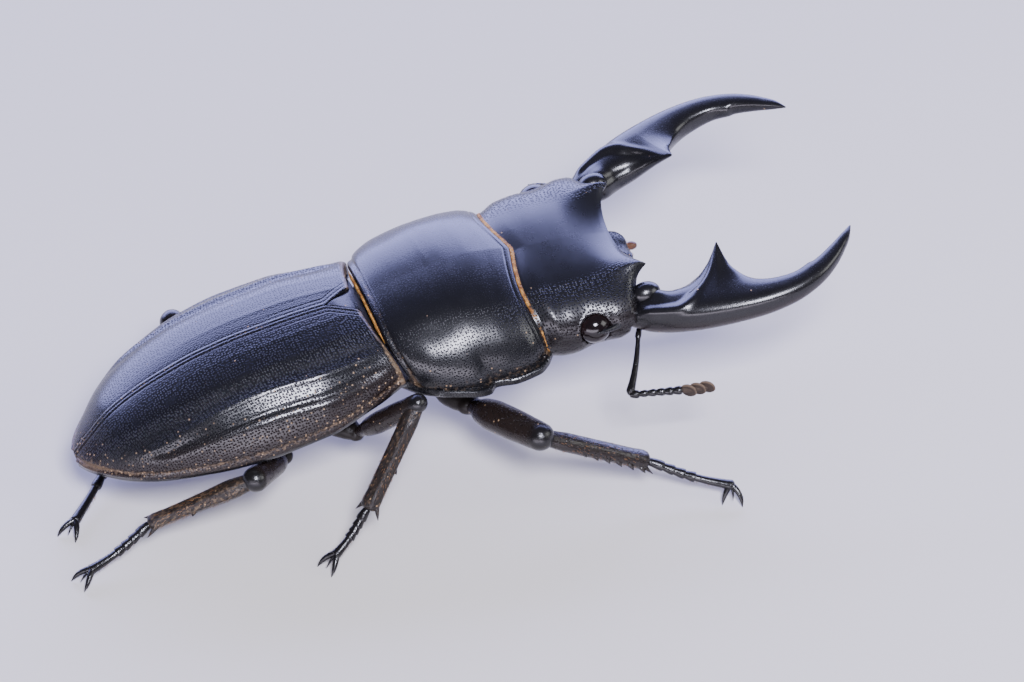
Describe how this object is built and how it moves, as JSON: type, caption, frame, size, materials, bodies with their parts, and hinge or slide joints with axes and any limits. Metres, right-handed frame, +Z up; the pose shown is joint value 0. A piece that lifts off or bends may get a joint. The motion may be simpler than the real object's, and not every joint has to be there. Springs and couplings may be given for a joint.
{
  "type": "stag beetle",
  "caption": "Life-size still model of a male stag beetle, standing with its head raised, long toothed mandibles open and legs spread.",
  "frame": {"origin": "on the floor, under the middle of the beetle's bounding box", "axes": "+X towards the head, +Y towards the beetle's left, +Z up"},
  "size_m": [0.071, 0.037, 0.0169],
  "materials": {
    "wing_case": "punctured satin black chitin",
    "cuticle": "satin black chitin with fine punctures",
    "mandible": "smooth glossy brown-black chitin",
    "belly": "satin dark brown chitin",
    "eye": "glossy dark brown compound eye",
    "leg": "punctured black-brown chitin with fine setae",
    "feeler": "glossy black chitin",
    "club": "velvety tan sensory hair",
    "palp": "glossy reddish-brown chitin"
  },
  "bodies": {
    "root": {"elytron_right": "wing_case", "elytron_left": "wing_case", "scutellum": "cuticle", "pronotum": "cuticle", "thorax": "belly", "abdomen": "belly", "head": "cuticle", "labrum": "cuticle", "eye_right": "eye", "mandible_right": "mandible", "palp_right": "palp", "antenna_scape_right": "feeler", "antenna_funicle_right": "feeler", "antenna_club_right": "club", "eye_left": "eye", "mandible_left": "mandible", "palp_left": "palp", "antenna_scape_left": "feeler", "antenna_funicle_left": "feeler", "antenna_club_left": "club", "fore_right_coxa": "leg", "fore_right_femur": "leg", "fore_right_tibia": "leg", "fore_right_tarsus": "leg", "fore_left_coxa": "leg", "fore_left_femur": "leg", "fore_left_tibia": "leg", "fore_left_tarsus": "leg", "mid_right_coxa": "leg", "mid_right_femur": "leg", "mid_right_tibia": "leg", "mid_right_tarsus": "leg", "mid_left_coxa": "leg", "mid_left_femur": "leg", "mid_left_tibia": "leg", "mid_left_tarsus": "leg", "hind_right_coxa": "leg", "hind_right_femur": "leg", "hind_right_tibia": "leg", "hind_right_tarsus": "leg", "hind_left_coxa": "leg", "hind_left_femur": "leg", "hind_left_tibia": "leg", "hind_left_tarsus": "leg"}
  },
  "joints": []
}
